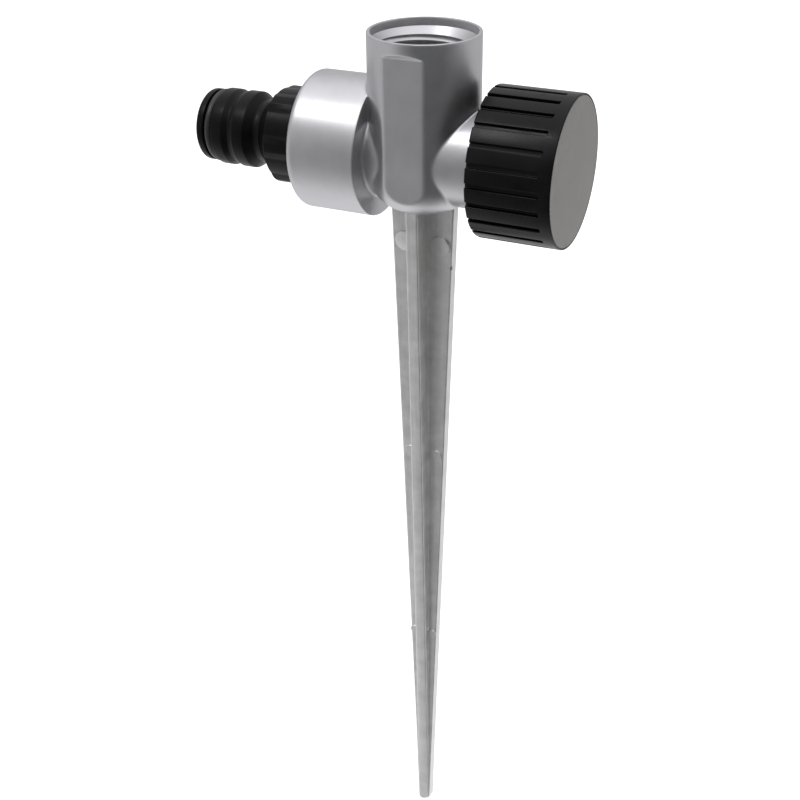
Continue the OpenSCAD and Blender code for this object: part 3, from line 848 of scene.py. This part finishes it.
# Bump depths are in metres
MATERIALS = {
    "silver_casting": moulded("silver_paint", dark=(0.55, 0.55, 0.565), light=(0.62, 0.62, 0.635),
                              rough=(0.3, 0.38), grain_scale=3200, mottle_scale=140,
                              depth=0.000014, metallic=0.95),
    # The spike's colour is paler towards the tip: painted light, not a property of its paint.
    "spike_casting": dragged_lines_with_painted_light("spike_paint_and_painted_light", dark=(0.7, 0.7, 0.69),
                                      light=(0.93, 0.93, 0.915), rough=(0.3, 0.42),
                                      depth=0.00002, metallic=0.9),
    "nipple_plastic": moulded("nipple_plastic", dark=(0.0015, 0.0015, 0.002),
                              light=(0.004, 0.004, 0.0045), rough=(0.24, 0.34), grain_scale=2600,
                              mottle_scale=200, depth=0.000006, specular=0.13),
    "knob_plastic": moulded("knob_plastic", dark=(0.0015, 0.0015, 0.002),
                            light=(0.004, 0.004, 0.0045), rough=(0.2, 0.3), grain_scale=3000,
                            mottle_scale=220, depth=0.000008, specular=0.17),
    "disc_grey": moulded("disc_grey", dark=(0.18, 0.176, 0.163), light=(0.215, 0.21, 0.196),
                         rough=(0.55, 0.68), grain_scale=3500, mottle_scale=300,
                         depth=0.00001, specular=0.4),
    "seal_rubber": moulded("seal_rubber", dark=(0.012, 0.012, 0.012), light=(0.024, 0.024, 0.024),
                           rough=(0.3, 0.45), grain_scale=2500, mottle_scale=300,
                           depth=0.000006),
    "fibre": moulded("fibre", dark=(0.28, 0.06, 0.04), light=(0.42, 0.11, 0.07), rough=(0.75, 0.9),
                     grain_scale=1800, mottle_scale=900, depth=0.00003, specular=0.3),
    "acetal": moulded("acetal", dark=(0.74, 0.73, 0.67), light=(0.84, 0.83, 0.78),
                      rough=(0.3, 0.42), grain_scale=2400, mottle_scale=200, depth=0.000006),
    "turned_brass": turned("turned_brass", dark=(0.55, 0.36, 0.13), light=(0.78, 0.58, 0.27),
                           rough=(0.2, 0.36), ring_scale=5000, depth=0.00001, metallic=1),
    "stainless": turned("stainless", dark=(0.5, 0.5, 0.5), light=(0.66, 0.66, 0.65),
                        rough=(0.22, 0.38), ring_scale=6000, depth=0.00001, metallic=1),
}


def dress_kept_nodes():
    """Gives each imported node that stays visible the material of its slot."""
    for subpart in frame["record"]["subparts"]:
        mesh = frame["nodes"][subpart["node"]].data
        mesh.materials.clear()
        mesh.materials.append(MATERIALS[subpart["material_slot"]])


# ---------------------------------------------------------------- studio

def floor():
    """Pale studio floor under the tip of the spike. Metal mirrors the grey surround instead of it."""
    bm = bmesh.new()
    bmesh.ops.create_grid(bm, x_segments=1, y_segments=1, size=FLOOR_HALF)
    bmesh.ops.translate(bm, vec=(0, 0, (SPIKE_LOW.z - FLOOR_DROP) * MM), verts=bm.verts)
    mesh = bpy.data.meshes.new("floor")
    bm.to_mesh(mesh)
    bm.free()
    material, _, shader = start_material("floor", specular=0.2)
    shader.inputs["Base Color"].default_value = (FLOOR_GREY, FLOOR_GREY, FLOOR_GREY, 1)
    shader.inputs["Roughness"].default_value = 0.9
    shader.inputs["Emission Color"].default_value = (1, 1, 1, 1)
    shader.inputs["Emission Strength"].default_value = FLOOR_GLOW
    mesh.materials.append(material)
    obj = bpy.data.objects.new("floor", mesh)
    obj.visible_glossy = False
    bpy.context.scene.collection.objects.link(obj)


def soft_light(name, place, aim, size, power):
    """Square soft light that points from a place to an aim, both in metres."""
    data = bpy.data.lights.new(name, "AREA")
    data.shape = "SQUARE"
    data.size = size
    data.energy = power
    obj = bpy.data.objects.new(name, data)
    obj.location = place
    obj.rotation_euler = (Vector(aim) - Vector(place)).to_track_quat("-Z", "Y").to_euler()
    bpy.context.scene.collection.objects.link(obj)


def world_ramp(tree, factor, stops):
    """Grey ramp over a 0 to 1 factor from (position, brightness) stops."""
    node = tree.nodes.new("ShaderNodeValToRGB")
    elements = node.color_ramp.elements
    while len(elements) < len(stops):
        elements.new(0.5)
    for element, (position, grey) in zip(elements, stops):
        element.position = position
        element.color = (grey, grey, grey * SURROUND_BLUE, 1)
    tree.links.new(factor, node.inputs["Fac"])
    return node.outputs["Color"]


def surround():
    """Soft tent around the part: bright above, grey at eye level, darker behind the viewer."""
    world = bpy.data.worlds.new("surround")
    world.use_nodes = True
    tree = world.node_tree
    view = tree.nodes.new("ShaderNodeTexCoord").outputs["Generated"]
    parts = tree.nodes.new("ShaderNodeSeparateXYZ")
    tree.links.new(view, parts.inputs[0])
    height = add_math(tree, "ADD", add_math(tree, "MULTIPLY", parts.outputs["Z"], 0.5), 0.5)
    tent = world_ramp(tree, height, [(0.0, 1.0), (0.1, 0.95), (0.25, 0.7), (0.5, 0.55),
                                     (0.72, 0.6), (0.85, 0.95), (0.95, 1.3)])
    front = tree.nodes.new("ShaderNodeVectorMath")
    front.operation = "DOT_PRODUCT"
    front.inputs[1].default_value = (0.5, -0.8, -0.33)
    tree.links.new(view, front.inputs[0])
    dim = world_ramp(tree, front.outputs["Value"], [(0.3, 1.0), (0.6, 0.44), (0.87, 0.13)])
    mixed = tree.nodes.new("ShaderNodeMix")
    mixed.data_type = "RGBA"
    mixed.blend_type = "MULTIPLY"
    mixed.inputs[MIX_FACTOR].default_value = 1
    tree.links.new(tent, mixed.inputs[MIX_A])
    tree.links.new(dim, mixed.inputs[MIX_B])
    seen = tree.nodes.new("ShaderNodeMix")
    seen.data_type = "RGBA"
    seen.inputs[MIX_B].default_value = (1, 1, 1, 1)
    path = tree.nodes.new("ShaderNodeLightPath")
    tree.links.new(path.outputs["Is Camera Ray"], seen.inputs[MIX_FACTOR])
    tree.links.new(mixed.outputs[MIX_RESULT], seen.inputs[MIX_A])
    background = tree.nodes["Background"]
    tree.links.new(seen.outputs[MIX_RESULT], background.inputs["Color"])
    background.inputs["Strength"].default_value = 1
    bpy.context.scene.world = world


def studio():
    """Floor, surround and one soft light."""
    floor()
    surround()
    soft_light("key", place=(-0.37, -0.42, 0.83), aim=(0, 0, 0), size=0.3, power=1.6)
    bpy.context.scene.view_settings.view_transform = "Standard"


def camera():
    """Camera from the right and above, looking down at the part."""
    azimuth = radians(24.78)
    elevation = radians(29.55)
    roll = radians(-0.76)
    distance = 0.32643
    target = Vector((-0.006846, 0, -0.052459))
    data = bpy.data.cameras.new("camera")
    data.sensor_width = 36
    data.lens = 59.02
    data.clip_start = 0.01
    obj = bpy.data.objects.new("camera", data)
    away = Vector((sin(azimuth) * cos(elevation), -cos(azimuth) * cos(elevation), sin(elevation)))
    obj.location = target + away * distance
    turn = (Matrix.Rotation(azimuth, 3, "Z") @ Matrix.Rotation(pi / 2 - elevation, 3, "X")
            @ Matrix.Rotation(roll, 3, "Z"))
    obj.rotation_euler = turn.to_euler()
    bpy.context.scene.collection.objects.link(obj)
    bpy.context.scene.camera = obj


camera()
studio()
dress_kept_nodes()
casting(MATERIALS["silver_casting"])
spike(MATERIALS["spike_casting"])
nipple(MATERIALS["nipple_plastic"])
knob(MATERIALS["knob_plastic"])
cover_disc(MATERIALS["disc_grey"])
